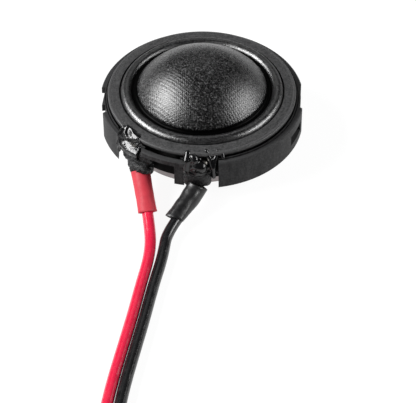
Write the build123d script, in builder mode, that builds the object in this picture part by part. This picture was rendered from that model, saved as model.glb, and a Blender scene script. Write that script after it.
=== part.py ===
from build123d import *

# Soft dome car tweeter: a moulded ring chassis, a cloth dome on its voice coil, a neodymium motor
# in a steel cup, and two soldered leads in heat-shrink sleeves. The origin is the middle of the
# cup's back face, +Z is the way the dome fires, and the leads leave towards -Y. Millimetres.

import os
from math import asin, cos, degrees, pi, radians, sin, sqrt, tan

# ---- driving dimensions ----
rim_r = 21.0  # outside of the chassis wall
wall_bottom = 3.6
wall_top = 10.1
cup_r = 16.0
coil_r = 13.0  # where the voice coil's winding lies on its former
dome_edge = (13.1, 12.8)  # radius and height of the dome above its adhesive bead
dome_top = 19.3
roll = (15.55, 11.25)  # middle of the surround's half roll
roll_outer = 1.27
lead_d = 2.3

# ---- chassis ----
fit_gap = 0.02
wall_in_r = 19.5
rim_chamfer = 0.22
skirt_r = 17.9
skirt_bottom = 3.7
web_bottom = 8.9
ring_floor = 9.6  # what the shoulder ring stands on
seat_r = 18.64
seat_in_r = 16.4
seat_top = 11.05
lip_in_r = 14.6
lip_top = 10.2
ledge_in_r = 20.0
groove_bottom = 9.7
fence_r = (19.6, 19.8)  # the thin fence round the shoulder ring
fence_top = 10.32
recess_r = 20.45  # the wall in its right-hand recess
recess = (-11.0, 10.0)  # degrees
gate_r = 20.15  # the wall inside the left-hand bayonet gate
gate = (172.8, 194.4)  # the gate is open at the top between these two turns
gate_run = (150.0, 194.4)  # and runs on under the wall's top between these
gate_run_top = 8.55
gate_tab = (176.0, 188.3)  # a ramped tab stands in the gate
gate_tab_r = (20.15, 20.8)
bayonet = (-30.0, -15.0)
bayonet_r = 18.3
bayonet_z = (5.4, 7.8)
bridge_x = (-12.2, -3.6)  # between the two terminal pockets
post_r = 20.6
window_x = (-10.9, -5.6)
post_bottom = 3.8
light_slot_r = (19.45, 19.8)  # the deep slot between the shoulder ring and the bridge
light_slot_x = (-11.4, -4.3)
cut_z = (2.0, 12.0)  # cutting solids run from below the chassis to above it
beyond_r = 23.0  # and out to here
slab_depth = 30.0
over = 0.5  # and this far past a face in other places

# ---- motor ----
cup_rim = 8.6
cup_in_r = 13.75
cup_floor = 2.4
cup_step = (15.98, 3.4)  # the cup's radius inside the skirt, and where that starts
cup_edge = 0.5
magnet_r = 12.0
magnet_top = 6.2
magnet_edge = 0.3
pole_r = 12.35
felt_r = 10.5
felt_top = 10.3
felt_edge = 0.6

# ---- moving parts ----
former_wall = 0.15
former_z = (7.0, 12.4)
winding_wall = 0.3
winding_z = (7.1, 9.4)
dome_wall = 0.3
collar_r = (13.03, 13.3)
collar_z = (11.85, 12.45)
bead_r = 13.33
bead_top = (13.42, 12.38)
bead_hollow = (13.8, 11.8)  # a point on its hollow top
bead_flank = (150.0, 15.5)  # degrees of the roll that it lies on, from and by
bead_clearance = 0.03
skin = 0.25  # thickness of the surround
surround_in_r = 13.5
surround_flat = 11.55  # top of its inner rim
surround_out_r = 18.5

# ---- front rings ----
flange_r = (17.05, 18.58)
flange_bottom = 11.34
flange_top = (11.74, 11.6)  # at its inner and its outer edge
flange_edge = (0.08, 0.06)
shoulder_r = (18.68, 19.42)
shoulder_top = 11.56
shoulder_edge = 10.85
shoulder_crown = (19.14, 11.31)  # a point on its rounded top

# ---- terminals ----
pocket_x = {"red": (-17.0, -12.2), "black": (-3.6, 3.3)}
pocket_foot_x = {"red": (-17.0, -10.9), "black": (-3.6, 3.3)}
foot_top = 6.55
block_x = {"red": (-16.7, -10.95), "black": (-3.5, 2.1)}
block_section = ((17.95, 6.5), (20.6, 6.5), (20.6, 4.2), (20.1, 3.75), (17.95, 3.75))
glue_x = {"red": (-16.8, -12.3), "black": (-3.5, 3.1)}
glue_section = (
    (18.66, 6.55),
    (20.5, 6.55),
    (20.6, 9.4),
    (20.3, 10.5),
    (19.66, 10.8),
    (19.66, 9.58),
    (18.66, 9.58),
)
tag_wide = 1.5
tag_thick = 0.45
tag_top = 9.9
tag_bar = 0.9  # height of the bar that joins its blade to its tongue
tag_turn = {"red": 227.1, "black": 270.7}  # degrees round Z
tag_reach = (-1.7, 2.0)  # of its tongue, before and after the sleeve's mouth
lead_out_d = 0.4
lead_out_z = 9.26
lead_out_hole_r = 0.27
lead_out_route = ((13.02, 9.95), (14.0, 9.85), (14.5, lead_out_z), (seat_r, lead_out_z))
pip_r = 0.29
joint_r = 0.9
joint_reach = (-0.8, 1.9)  # of the soldered joint, before and after the sleeve's knee
sleeve_r = (1.3, 1.85)
sleeve_clearance = 0.06
seat_depth = 4.0
sleeve_mouth = {"red": (-12.48, -16.86, 4.6), "black": (-0.3, -20.8, 4.7)}
sleeve_knee = {"red": (-12.15, -18.2, 3.15), "black": (-1.15, -22.4, 2.8)}
sleeve_end = {"red": (-10.8, -26.9, 2.15), "black": (-5.3, -28.4, 2.15)}

# ---- leads ----
bend_share = 0.45  # of the shorter run beside it, that a bend may take up
lead_z = lead_d / 2  # they lie on the surface that the cup stands on
tie_wall = 0.3
tie_wide = 2.5
tie_clearance = (0.15, 0.1)  # inside and outside the coil
layers = (0.35, 2.7, 5.05)  # limits of the coil's two layers, above the foot of its tie
coil_z = layers[0] + lead_z
upper_z = layers[1] + lead_z
coil_centre = (-5.45, -96.5)
turn_r = {"red": 12.95, "black": 10.6}
wound = {"red": 415.0, "black": 425.0}  # degrees, from each lead's way in
lower_turn = 300.0  # degrees of the coil that lie in the lower layer
upper_start = 285.0
tie_turn = 200.0
routes = {
    "red": (
        (-10.2, -30.6, 1.7),
        (-10.25, -37.4, lead_z),
        (-11.85, -45.4, lead_z),
        (-13.2, -53.2, lead_z),
        (-14.9, -61.6, lead_z),
        (-16.6, -70.2, lead_z),
        (-17.95, -79.3, lead_z),
        (-18.4, -88.3, coil_z),
        (-18.4, -96.5, coil_z),
    ),
    "black": (
        (-6.9, -30.7, 1.7),
        (-7.7, -37.6, lead_z),
        (-9.5, -45.8, lead_z),
        (-10.95, -54.0, lead_z),
        (-12.65, -62.4, lead_z),
        (-14.35, -71.0, lead_z),
        (-15.6, -80.0, lead_z),
        (-16.05, -88.4, coil_z),
        (-16.05, -96.5, coil_z),
    ),
}
tails = {
    "red": ((-9.4, -109.5, 3.95), (-5.6, -111.9, 4.0), (1.6, -115.6, lead_z), (8.2, -117.6, lead_z)),
    "black": ((-5.5, -108.3, 3.95), (0.6, -110.9, 4.05), (7.6, -112.9, lead_z), (13.9, -113.1, lead_z)),
}
tip_d = 1.1
tip_length = 6.0

dome_rise = dome_top - dome_edge[1]
sphere_r = (dome_edge[0] ** 2 + dome_rise**2) / (2 * dome_rise)
sphere_z = dome_top - sphere_r
pieces = []


def keep(builder, name):
    """Label a finished piece and keep it for the export."""
    builder.part.label = name
    pieces.append(builder.part)


def turned(corners, start=0.0, angle=360.0):
    """A part turned about Z from the corners of its section, each (radius, height)."""
    with BuildPart() as blank:
        with BuildSketch(Plane.XZ):
            with BuildLine():
                Polyline(*corners, close=True)
            make_face()
        revolve(axis=Axis.Z, revolution_arc=angle)
    return blank.part.rotate(Axis.Z, start)


def band(inner, outer, low, high, start=0.0, angle=360.0):
    """A plain ring, or a sector of one."""
    return turned(((inner, low), (outer, low), (outer, high), (inner, high)), start, angle)


def front_slab(across, low, high):
    """The part of the front half, y < 0, between two planes across X and two heights."""
    with BuildPart() as blank:
        with BuildSketch(Plane.XY.offset(low)):
            with Locations(((across[0] + across[1]) / 2, -rim_r)):
                Rectangle(across[1] - across[0], slab_depth)
        extrude(amount=high - low)
    return blank.part


def ramped_tab():
    """The tab in the bayonet gate: its outside climbs from one end to the other."""
    corners = []
    for radius, turn in (
        (wall_in_r, gate_tab[0]),
        (gate_tab_r[0], gate_tab[0]),
        (gate_tab_r[1], gate_tab[1]),
        (wall_in_r, gate_tab[1]),
    ):
        corners.append((radius * cos(radians(turn)), radius * sin(radians(turn))))
    with BuildPart() as blank:
        with BuildSketch(Plane.XY.offset(gate_run_top)):
            with BuildLine():
                Polyline(*corners, close=True)
            make_face()
        extrude(amount=cut_z[1] - gate_run_top)
    return blank.part


def unit(start, end):
    """The direction from one point to another."""
    return (Vector(*end) - Vector(*start)).normalized()


def rod(centre, direction, radius, span):
    """A round rod along a direction, from one distance past a point to another."""
    low, high = span
    with BuildPart() as blank:
        with BuildSketch(Plane(Vector(*centre) + direction * low, z_dir=direction)):
            Circle(radius)
        extrude(amount=high - low)
    return blank.part


def corner_radii(points):
    """The largest arcs that a route's runs leave room for, one for each corner."""
    radii = []
    for before, corner, after in zip(points, points[1:], points[2:]):
        run_in = Vector(*corner) - Vector(*before)
        run_out = Vector(*after) - Vector(*corner)
        half_turn = radians(run_in.get_angle(run_out)) / 2
        radii.append(bend_share * min(run_in.length, run_out.length) / tan(half_turn))
    return radii


def tube(points, radius):
    """A round tube on straight runs joined by tangent arcs."""
    with BuildPart() as blank:
        with BuildLine() as path:
            FilletPolyline(*points, radius=corner_radii(points))
        route = path.wire()
        with BuildSketch(Plane(route @ 0, z_dir=route % 0)):
            Circle(radius)
        sweep(path=route)
    return blank.part, route.length


# ---- chassis: outer wall, web, skirt round the cup, and the diaphragm's seat ----
with BuildPart() as chassis:
    with BuildSketch(Plane.XZ):
        with BuildLine():
            Polyline(
                (lip_in_r, cup_rim + fit_gap),
                (cup_r, cup_rim + fit_gap),
                (cup_r, skirt_bottom),
                (skirt_r, skirt_bottom),
                (skirt_r, web_bottom),
                (wall_in_r, web_bottom),
                (wall_in_r, wall_bottom),
                (rim_r, wall_bottom),
                (rim_r, wall_top - rim_chamfer),
                (rim_r - rim_chamfer, wall_top),
                (ledge_in_r, wall_top),
                (ledge_in_r, groove_bottom),
                (fence_r[1], groove_bottom),
                (fence_r[1], fence_top),
                (fence_r[0], fence_top),
                (fence_r[0], ring_floor),
                (seat_r, ring_floor),
                (seat_r, seat_top),
                (seat_in_r, seat_top),
                (seat_in_r, lip_top),
                (lip_in_r, lip_top),
                close=True,
            )
        make_face()
    revolve(axis=Axis.Z)
    # a shallow recess on the right, a bayonet gate with a ramped tab on the left, a window
    add(band(recess_r, beyond_r, *cut_z, recess[0], recess[1] - recess[0]), mode=Mode.SUBTRACT)
    run = band(gate_r, beyond_r, cut_z[0], gate_run_top, gate_run[0], gate_run[1] - gate_run[0])
    add(run, mode=Mode.SUBTRACT)
    gate_cut = band(gate_r, beyond_r, gate_run_top - over, cut_z[1], gate[0], gate[1] - gate[0])
    add(gate_cut - ramped_tab(), mode=Mode.SUBTRACT)
    add(
        band(bayonet_r, beyond_r, *bayonet_z, bayonet[0], bayonet[1] - bayonet[0]),
        mode=Mode.SUBTRACT,
    )
    # the two terminal pockets, open to the outside
    beyond_seat = band(seat_r, beyond_r, *cut_z)
    for colour in ("red", "black"):
        add(front_slab(pocket_x[colour], *cut_z) & beyond_seat, mode=Mode.SUBTRACT)
        foot = front_slab(pocket_foot_x[colour], cut_z[0], foot_top)
        add(foot & band(skirt_r, beyond_r, cut_z[0], foot_top), mode=Mode.SUBTRACT)
    # between them the wall is a bridge over a window, on posts that stand a little back
    below_bridge = band(post_r, beyond_r, cut_z[0], web_bottom)
    below_wall = band(skirt_r, beyond_r, cut_z[0], web_bottom)
    add(front_slab(bridge_x, cut_z[0], web_bottom) & below_bridge, mode=Mode.SUBTRACT)
    add(front_slab(window_x, cut_z[0], web_bottom) & below_wall, mode=Mode.SUBTRACT)
    add(front_slab(bridge_x, cut_z[0], post_bottom) & below_wall, mode=Mode.SUBTRACT)
    light_slot = front_slab(light_slot_x, web_bottom - over, cut_z[1]) & band(*light_slot_r, *cut_z)
    add(light_slot, mode=Mode.SUBTRACT)
    # a hole through the seat for each of the voice coil's lead-outs
    for turn in tag_turn.values():
        outward = Vector(cos(radians(turn)), sin(radians(turn)), 0)
        hole = rod((0, 0, lead_out_z), outward, lead_out_hole_r, (lip_in_r - over, seat_r + over))
        add(hole, mode=Mode.SUBTRACT)
keep(chassis, "chassis")

# ---- shoulder ring: the smooth ring outside the diaphragm's flange ----
with BuildPart() as shoulder_ring:
    with BuildSketch(Plane.XZ):
        with BuildLine():
            Polyline(
                (shoulder_r[1], shoulder_edge),
                (shoulder_r[1], ring_floor + fit_gap),
                (shoulder_r[0], ring_floor + fit_gap),
                (shoulder_r[0], shoulder_top),
            )
            ThreePointArc(
                (shoulder_r[0], shoulder_top),
                shoulder_crown,
                (shoulder_r[1], shoulder_edge),
            )
        make_face()
    revolve(axis=Axis.Z)
keep(shoulder_ring, "shoulder_ring")

# ---- diaphragm flange: the textured ring that clamps the surround's rim ----
with BuildPart() as diaphragm_flange:
    with BuildSketch(Plane.XZ):
        with BuildLine():
            Polyline(
                (flange_r[0], flange_bottom),
                (flange_r[1], flange_bottom),
                (flange_r[1], flange_top[1] - flange_edge[1]),
                (flange_r[1] - flange_edge[1], flange_top[1]),
                (flange_r[0] + flange_edge[0], flange_top[0]),
                (flange_r[0], flange_top[0] - flange_edge[0]),
                close=True,
            )
        make_face()
    revolve(axis=Axis.Z)
keep(diaphragm_flange, "diaphragm_flange")

# ---- motor ----
with BuildPart() as yoke_cup:
    with BuildSketch(Plane.XZ):
        with BuildLine():
            Polyline(
                (0, 0),
                (cup_r - cup_edge, 0),
                (cup_r, cup_edge),
                (cup_r, cup_step[1]),
                (cup_step[0], cup_step[1]),
                (cup_step[0], cup_rim),
                (cup_in_r, cup_rim),
                (cup_in_r, cup_floor),
                (0, cup_floor),
                close=True,
            )
        make_face()
    revolve(axis=Axis.Z)
keep(yoke_cup, "yoke_cup")

with BuildPart() as magnet:
    with BuildSketch(Plane.XY.offset(cup_floor)):
        Circle(magnet_r)
    extrude(amount=magnet_top - cup_floor)
    chamfer(magnet.edges(), length=magnet_edge)
keep(magnet, "magnet")

with BuildPart() as pole_plate:
    with BuildSketch(Plane.XY.offset(magnet_top)):
        Circle(pole_r)
    extrude(amount=cup_rim - magnet_top)
keep(pole_plate, "pole_plate")

with BuildPart() as damping_felt:
    with BuildSketch(Plane.XY.offset(cup_rim)):
        Circle(felt_r)
    extrude(amount=felt_top - cup_rim)
    fillet(damping_felt.edges().group_by(Axis.Z)[-1], radius=felt_edge)
keep(damping_felt, "damping_felt")

# ---- moving parts ----
with BuildPart() as voice_coil_former:
    with BuildSketch(Plane.XY.offset(former_z[0])):
        Circle(coil_r)
        Circle(coil_r - former_wall, mode=Mode.SUBTRACT)
    extrude(amount=former_z[1] - former_z[0])
keep(voice_coil_former, "voice_coil_former")

with BuildPart() as voice_coil_winding:
    with BuildSketch(Plane.XY.offset(winding_z[0])):
        Circle(coil_r + winding_wall)
        Circle(coil_r + fit_gap / 2, mode=Mode.SUBTRACT)
    extrude(amount=winding_z[1] - winding_z[0])
keep(voice_coil_winding, "voice_coil_winding")

with BuildPart() as dome:
    inner_r = sphere_r - dome_wall
    foot_z = collar_z[1]
    outer_foot = sqrt(sphere_r**2 - (foot_z - sphere_z) ** 2)
    inner_foot = sqrt(inner_r**2 - (foot_z - sphere_z) ** 2)
    with BuildSketch(Plane.XZ):
        with BuildLine():
            CenterArc((0, sphere_z), sphere_r, 90, degrees(asin((foot_z - sphere_z) / sphere_r)) - 90)
            CenterArc((0, sphere_z), inner_r, 90, degrees(asin((foot_z - sphere_z) / inner_r)) - 90)
            Polyline(
                (outer_foot, foot_z),
                (collar_r[1], foot_z),
                (collar_r[1], collar_z[0]),
                (collar_r[0], collar_z[0]),
                (collar_r[0], foot_z),
                (inner_foot, foot_z),
            )
            Line((0, dome_top), (0, dome_top - dome_wall))
        make_face()
    revolve(axis=Axis.Z)
keep(dome, "dome")

with BuildPart() as edge_bead:
    bead_outer = roll_outer + bead_clearance
    with BuildSketch(Plane.XZ):
        with BuildLine():
            flank = CenterArc(roll, bead_outer, *bead_flank)
            Line(flank @ 1, (bead_r, (flank @ 1).Y))
            Line((bead_r, (flank @ 1).Y), bead_top)
            ThreePointArc(bead_top, bead_hollow, flank @ 0)
        make_face()
    revolve(axis=Axis.Z)
keep(edge_bead, "edge_bead")

with BuildPart() as surround:
    roll_inner = roll_outer - skin
    outer_start = degrees(asin((surround_flat - roll[1]) / roll_outer))
    outer_end = degrees(asin((flange_bottom - fit_gap - roll[1]) / roll_outer))
    with BuildSketch(Plane.XZ):
        with BuildLine():
            outside = CenterArc(roll, roll_outer, outer_end, 180 - outer_start - outer_end)
            inside = CenterArc(roll, roll_inner, 0, 180)
            Polyline(
                outside @ 1,
                (surround_in_r, surround_flat),
                (surround_in_r, roll[1]),
                inside @ 1,
            )
            Polyline(
                inside @ 0,
                (roll[0] + roll_inner, seat_top + fit_gap),
                (surround_out_r, seat_top + fit_gap),
                (surround_out_r, flange_bottom - fit_gap),
                outside @ 0,
            )
        make_face()
    revolve(axis=Axis.Z)
keep(surround, "surround")

# ---- terminals: tag, block, solder, glue, sleeve and joint of each colour ----
for colour in ("red", "black"):
    mouth = Vector(*sleeve_mouth[colour])
    knee = Vector(*sleeve_knee[colour])
    end = Vector(*sleeve_end[colour])
    down = unit(mouth, knee)
    along = unit(knee, end)
    turn = radians(tag_turn[colour])
    outward = Vector(cos(turn), sin(turn), 0)
    sideways = outward.cross(Vector(0, 0, 1))
    foot = mouth + down * tag_reach[0]
    blade_r = foot.dot(outward)
    aside = foot.dot(sideways)
    blade_mid = outward * blade_r + Vector(0, 0, (foot.Z + tag_top) / 2)

    with BuildPart() as tag:
        with BuildSketch(Plane(blade_mid, x_dir=sideways, z_dir=outward)):
            Rectangle(tag_wide, tag_top - foot.Z + tag_thick)
        with BuildSketch(Plane(outward * blade_r + Vector(0, 0, foot.Z), sideways, outward)):
            with Locations((aside / 2, 0)):
                Rectangle(tag_wide + abs(aside), tag_bar)
        extrude(amount=tag_thick / 2, both=True)
        with BuildSketch(Plane(foot, x_dir=sideways, z_dir=down)):
            Rectangle(tag_wide, tag_thick)
        extrude(amount=tag_reach[1] - tag_reach[0])
        split(bisect_by=Plane.XY.offset(tag_top), keep=Keep.BOTTOM)
    keep(tag, f"{colour}_terminal_tag")

    # the sleeve's mouth sits in a shallow round seat in the block's underside
    block_body = turned(block_section) & front_slab(block_x[colour], *cut_z)
    sleeve_seat = rod(mouth, down, sleeve_r[1] + sleeve_clearance, (-sleeve_clearance, seat_depth))
    with BuildPart() as block:
        add(block_body)
        add(sleeve_seat, mode=Mode.SUBTRACT)
        add(tag.part, mode=Mode.SUBTRACT)
    keep(block, f"{colour}_terminal_block")

    blade_face = blade_r - tag_thick / 2
    with BuildPart() as pip:
        add(rod((0, 0, lead_out_z), outward, pip_r, (seat_r + fit_gap, blade_face)))
    keep(pip, f"{colour}_tinsel_solder")

    with BuildPart() as glue:
        add(turned(glue_section) & front_slab(glue_x[colour], *cut_z))
        add(tag.part, mode=Mode.SUBTRACT)
        pip_hole = rod((0, 0, lead_out_z), outward, pip_r, (seat_r - over, blade_r))
        add(pip_hole, mode=Mode.SUBTRACT)
    keep(glue, f"{colour}_glue")

    with BuildPart() as lead_out:
        plane = Plane((0, 0, 0), x_dir=outward, z_dir=outward.cross(Vector(0, 0, 1)))
        with BuildLine(plane) as path:
            FilletPolyline(*lead_out_route, radius=lead_out_d)
        route = path.wire()
        with BuildSketch(Plane(route @ 0, z_dir=route % 0)):
            Circle(lead_out_d / 2)
        sweep(path=route)
    keep(lead_out, f"{colour}_lead_out")

    joint_body = rod(knee, along, joint_r, joint_reach)
    with BuildPart() as joint:
        add(joint_body)
        add(tag.part, mode=Mode.SUBTRACT)
    keep(joint, f"{colour}_lead_joint")

    sleeve_route = (sleeve_mouth[colour], sleeve_knee[colour], sleeve_end[colour])
    with BuildPart() as sleeve:
        add(tube(sleeve_route, sleeve_r[1])[0])
        add(tube(sleeve_route, sleeve_r[0])[0], mode=Mode.SUBTRACT)
    keep(sleeve, f"{colour}_sleeve")

# ---- leads: the lead, its put-away coil, its tail and its tinned end ----
for colour in ("red", "black"):
    knee = Vector(*sleeve_knee[colour])
    start = knee + unit(sleeve_knee[colour], sleeve_end[colour]) * joint_reach[1]
    points = ((start.X, start.Y, start.Z), *routes[colour])
    lead_body, lead_length = tube(points, lead_d / 2)
    with BuildPart() as lead:
        add(lead_body)
    keep(lead, f"{colour}_lead")

    mean_r = turn_r[colour]
    inner, outer = mean_r - lead_d / 2, mean_r + lead_d / 2
    lower = band(inner, outer, layers[0], layers[1], 180, lower_turn)
    upper = band(inner, outer, layers[1], layers[2], 180 + upper_start, wound[colour] - upper_start)
    with BuildPart() as coil:
        with Locations((*coil_centre, 0)):
            add(lower)
            add(upper)
    keep(coil, f"{colour}_coil")

    last = radians(180 + wound[colour])
    leaves = (coil_centre[0] + mean_r * cos(last), coil_centre[1] + mean_r * sin(last), upper_z)
    tail_points = (leaves, *tails[colour])
    tail_body, tail_length = tube(tail_points, lead_d / 2)
    with BuildPart() as tail:
        add(tail_body)
    keep(tail, f"{colour}_tail")

    with BuildPart() as tinned_end:
        add(rod(tail_points[-1], unit(*tail_points[-2:]), tip_d / 2, (0, tip_length)))
    keep(tinned_end, f"{colour}_tinned_end")

    section = pi * (lead_d / 2) ** 2
    coil_length = radians(wound[colour]) * mean_r
    total = lead_length + coil_length + tail_length + tip_length
    print(colour, "radii", [round(r, 1) for r in corner_radii(points)])
    print(colour, "tail radii", [round(r, 1) for r in corner_radii(tail_points)])
    print(colour, "volumes", round(lead.part.volume / (section * lead_length), 4), end=" ")
    print(round(tail.part.volume / (section * tail_length), 4), "length", round(total, 1))

with BuildPart() as coil_tie:
    tie_place = Plane(
        (*coil_centre, layers[2] / 2 + tie_wall / 2),
        x_dir=(cos(radians(tie_turn)), sin(radians(tie_turn)), 0),
        z_dir=(-sin(radians(tie_turn)), cos(radians(tie_turn)), 0),
    )
    near = turn_r["black"] - lead_d / 2 - tie_clearance[0]
    far = turn_r["red"] + lead_d / 2 + tie_clearance[1]
    with BuildSketch(tie_place):
        with Locations(((near + far) / 2, 0)):
            Rectangle(far - near + 2 * tie_wall, layers[2] + tie_wall)
            Rectangle(far - near, layers[2] - tie_wall, mode=Mode.SUBTRACT)
    extrude(amount=tie_wide / 2, both=True)
keep(coil_tie, "coil_tie")

os.makedirs("parts", exist_ok=True)
for piece in pieces:
    export_step(piece, f"parts/{piece.label}.step")
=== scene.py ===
import math

import bmesh
import bpy
import numpy as np
from mathutils import Matrix, Vector, noise


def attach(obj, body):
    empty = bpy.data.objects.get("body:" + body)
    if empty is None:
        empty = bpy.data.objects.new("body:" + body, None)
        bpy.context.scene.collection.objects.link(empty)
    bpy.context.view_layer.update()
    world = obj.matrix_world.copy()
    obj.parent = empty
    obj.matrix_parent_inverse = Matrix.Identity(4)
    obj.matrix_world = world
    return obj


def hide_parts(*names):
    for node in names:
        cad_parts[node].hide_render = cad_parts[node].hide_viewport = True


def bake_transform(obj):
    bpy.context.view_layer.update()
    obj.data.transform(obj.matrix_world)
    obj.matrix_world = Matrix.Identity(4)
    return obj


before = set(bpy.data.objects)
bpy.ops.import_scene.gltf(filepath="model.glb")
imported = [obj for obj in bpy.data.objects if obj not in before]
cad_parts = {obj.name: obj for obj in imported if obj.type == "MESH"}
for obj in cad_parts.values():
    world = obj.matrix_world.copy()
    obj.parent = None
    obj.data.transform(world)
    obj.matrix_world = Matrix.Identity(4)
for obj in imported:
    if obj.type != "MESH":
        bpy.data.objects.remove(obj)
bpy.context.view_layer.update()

# A soft dome car tweeter. Lengths are in millimetres, and MM turns them into Blender's metres.
# +Z is the dome's axis, the way it fires, and the leads leave towards -Y. A turn round the axis
# is in degrees from +X, so 270 is the front.
MM = 0.001
HOUSING = "housing"
DIAPHRAGM = "diaphragm"
COLOURS = ("red", "black")
LEAD_D = 2.3
LEAD_Z = LEAD_D / 2  # the height of a lead's middle where it lies on the surface
WELD_M = 1e-7  # points closer than this are one, in a mesh in metres
WELD_MM = 1e-5  # and in a mesh still in millimetres
SLEEVE_END_RUN = 3.0  # how far a sleeve's cut and flattened ends reach along it
SLEEVE_GRIP = 0.1  # the least room that a flattened sleeve leaves round its lead


# ---------------------------------------------------------------- helpers
def finish_piece(obj, body, slot_name, material, *nodes):
    """Give a new piece its material, hide the CAD nodes it stands for, and attach it to its body;
    slot_name is not used.
    """
    obj.data.materials.clear()
    obj.data.materials.append(material)
    if nodes:
        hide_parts(*nodes)
    if body:
        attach(obj, body)


def put_in_scene(name, data):
    """An object that holds a mesh, a curve, a camera or a light."""
    obj = bpy.data.objects.new(name, data)
    bpy.context.scene.collection.objects.link(obj)
    return obj


def mesh_object(name, verts, faces):
    """A smooth mesh object from points in millimetres."""
    data = bpy.data.meshes.new(name)
    data.from_pydata([Vector(v) * MM for v in verts], [], faces)
    data.update()
    for polygon in data.polygons:
        polygon.use_smooth = True
    return put_in_scene(name, data)


def skin_faces(rings, around, closed=False, flip=False):
    """Faces between rings of points, ring to ring, and from the last to the first if closed."""
    faces = []
    for i in range(rings if closed else rings - 1):
        a, b = i * around, (i + 1) % rings * around
        for k in range(around):
            n = (k + 1) % around
            faces.append((a + k, a + n, b + n, b + k) if flip else (a + k, b + k, b + n, a + n))
    return faces


def lathe(name, profile, segments=360, lift=None):
    """A solid of revolution about Z from a closed profile of (radius, height) points."""
    verts = []
    for k in range(segments):
        turn = 2 * math.pi * k / segments
        for r, z in profile:
            rise = lift(r, z, turn) if lift else 0
            verts.append((r * math.cos(turn), r * math.sin(turn), z + rise))
    obj = mesh_object(name, verts, skin_faces(segments, len(profile), closed=True))
    weld_mesh(obj.data, WELD_M)
    return obj


def weld_mesh(data, distance):
    """Join doubled points and make the faces point outwards."""
    mesh = bmesh.new()
    mesh.from_mesh(data)
    bmesh.ops.remove_doubles(mesh, verts=mesh.verts, dist=distance)
    bmesh.ops.recalc_face_normals(mesh, faces=mesh.faces)
    mesh.to_mesh(data)
    mesh.free()


def arc(cx, cz, radius, start, end, steps):
    """Points on a circular arc, in degrees."""
    turns = [math.radians(start + (end - start) * k / steps) for k in range(steps + 1)]
    return [(cx + radius * math.cos(t), cz + radius * math.sin(t)) for t in turns]


def rounded(corners, radius, steps=4):
    """A closed profile with every corner rounded by the same small radius."""
    points = []
    count = len(corners)
    for i, corner in enumerate(corners):
        here = Vector(corner)
        before, after = Vector(corners[i - 1]), Vector(corners[(i + 1) % count])
        to_before, to_after = before - here, after - here
        cut = min(radius, 0.45 * to_before.length, 0.45 * to_after.length)
        a, b = here + to_before.normalized() * cut, here + to_after.normalized() * cut
        for k in range(steps + 1):
            t = k / steps
            point = a * (1 - t) ** 2 + here * 2 * t * (1 - t) + b * t**2
            points.append((point.x, point.y))
    return points


def bezier(points, steps):
    """A smooth path: a uniform quadratic spline with its two end points kept."""
    path = [Vector(points[0])]
    knots = [Vector(points[0])]
    knots += [(Vector(a) + Vector(b)) / 2 for a, b in zip(points[1:-1], points[2:-1])]
    knots.append(Vector(points[-1]))
    for start, corner, end in zip(knots, points[1:-1], knots[1:]):
        for k in range(1, steps + 1):
            t = k / steps
            path.append(start * (1 - t) ** 2 + Vector(corner) * 2 * t * (1 - t) + end * t**2)
    return path


def frames_along(path):
    """For each point of a path: the point, and two unit vectors across it that don't twist."""
    side = None
    frames = []
    for i, point in enumerate(path):
        ahead = (path[min(i + 1, len(path) - 1)] - path[max(i - 1, 0)]).normalized()
        if side is None:
            side = ahead.orthogonal().normalized()
        side = (side - ahead * side.dot(ahead)).normalized()
        frames.append((point, side, ahead.cross(side)))
    return frames


def at_distance(path, frames, distance):
    """The frame at a distance along a path."""
    done = 0.0
    for i in range(len(path) - 1):
        step = (path[i + 1] - path[i]).length
        if done + step >= distance or i == len(path) - 2:
            t = (distance - done) / step
            point = path[i].lerp(path[i + 1], t)
            side = frames[i][1].lerp(frames[i + 1][1], min(max(t, 0), 1)).normalized()
            up = frames[i][2].lerp(frames[i + 1][2], min(max(t, 0), 1)).normalized()
            return point, side, up
        done += step


def sleeve_mesh(name, path, profile, segments, ripple, slant, cut, flat):
    """A turned shape bent along a path: profile is closed, of (distance, radius) points.

    The mouth is slanted, lower at the front. The far end is cut askew by cut, which is a shift
    and how much it changes towards X and up, and it is pressed flat. Ripple is the skin's relief.
    """
    frames = frames_along(path)
    length = max(distance for distance, _ in profile)
    verts = []
    for distance, radius in profile:
        point, side, up = at_distance(path, frames, distance)
        along = side.cross(up).normalized()
        near_mouth = max(0.0, 1 - distance / SLEEVE_END_RUN)
        near_end = min(max((distance - length + SLEEVE_END_RUN) / SLEEVE_END_RUN, 0), 1)
        thin = max(1 - flat * near_end, min(1.0, (LEAD_Z + SLEEVE_GRIP) / radius))
        for k in range(segments):
            turn = 2 * math.pi * k / segments
            across = side * math.cos(turn) + up * math.sin(turn)
            shift = slant * near_mouth * (1 - across.y) / 2
            shift += near_end * (cut[0] + cut[1] * across.x + cut[2] * across.z)
            flatter = Vector((across.x, across.y, across.z * thin))
            place = point + flatter * radius + along * shift
            swell = ripple * noise.noise(place * 0.55) + 0.4 * ripple * noise.noise(place * 1.9)
            verts.append(place + (place - point).normalized() * swell)
    faces = skin_faces(len(profile), segments, closed=True, flip=True)
    obj = mesh_object(name, verts, faces)
    weld_mesh(obj.data, WELD_M)
    return obj


def ring_point(turn, r, z):
    """The point at a turn round the axis, a radius and a height."""
    return Vector((r * math.cos(math.radians(turn)), r * math.sin(math.radians(turn)), z))


def ball_ways(rows, columns):
    """Directions all over a ball, row by row from the top to the bottom."""
    ways = []
    for i in range(rows + 1):
        tilt = math.pi * i / rows
        flat = math.sin(tilt)
        for k in range(columns):
            turn = 2 * math.pi * k / columns
            ways.append((flat * math.cos(turn), flat * math.sin(turn), math.cos(tilt)))
    return ways


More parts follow.
